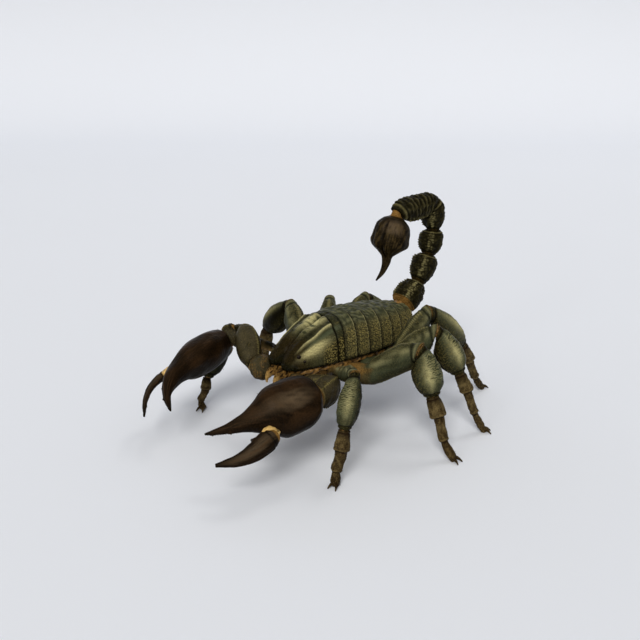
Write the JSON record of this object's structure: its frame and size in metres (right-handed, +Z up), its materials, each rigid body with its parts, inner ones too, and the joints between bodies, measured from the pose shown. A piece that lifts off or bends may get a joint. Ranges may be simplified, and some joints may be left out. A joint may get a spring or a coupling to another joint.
{
  "type": "desert scorpion",
  "caption": "Life-size model of a large burrowing desert scorpion, standing with claws spread low in front and its tail arched over its back",
  "frame": {"origin": "on the floor under the middle of the whole animal", "axes": "the head faces -Y, +Z is up and +X is the animal's left side"},
  "size_m": [0.096, 0.12, 0.0721],
  "materials": {
    "shell": "satin, olive-brown chitin",
    "claw": "semi-gloss, dark red-brown chitin",
    "tarsus": "satin, tan chitin",
    "underside": "satin, orange-brown chitin",
    "mouth": "satin, pale orange-brown chitin",
    "sting": "satin, dark brown chitin",
    "eye": "polished black"
  },
  "bodies": {
    "root": {"carapace": "shell", "chelicera_L": "mouth", "chelicera_R": "mouth", "coxosternum": "underside", "eye_lateral_L": "eye", "eye_lateral_R": "eye", "eye_median_L": "eye", "eye_median_R": "eye", "leg_L1_femur": "shell", "leg_L1_foot": "tarsus", "leg_L1_patella": "shell", "leg_L2_femur": "shell", "leg_L2_foot": "tarsus", "leg_L2_patella": "shell", "leg_L3_femur": "shell", "leg_L3_foot": "tarsus", "leg_L3_patella": "shell", "leg_L4_femur": "shell", "leg_L4_foot": "tarsus", "leg_L4_patella": "shell", "leg_R1_femur": "shell", "leg_R1_foot": "tarsus", "leg_R1_patella": "shell", "leg_R2_femur": "shell", "leg_R2_foot": "tarsus", "leg_R2_patella": "shell", "leg_R3_femur": "shell", "leg_R3_foot": "tarsus", "leg_R3_patella": "shell", "leg_R4_femur": "shell", "leg_R4_foot": "tarsus", "leg_R4_patella": "shell", "metasoma_1": "shell", "metasoma_2": "shell", "metasoma_3": "shell", "metasoma_4": "shell", "metasoma_5": "shell", "pecten_L": "mouth", "pecten_R": "mouth", "pedipalp_L_chela": "claw", "pedipalp_L_femur": "shell", "pedipalp_L_finger": "claw", "pedipalp_L_patella": "shell", "pedipalp_L_trochanter": "shell", "pedipalp_R_chela": "claw", "pedipalp_R_femur": "shell", "pedipalp_R_finger": "claw", "pedipalp_R_patella": "shell", "pedipalp_R_trochanter": "shell", "sternites": "underside", "telson": "sting", "tergite_1": "shell", "tergite_2": "shell", "tergite_3": "shell", "tergite_4": "shell", "tergite_5": "shell", "tergite_6": "shell", "tergite_7": "shell"}
  },
  "joints": []
}
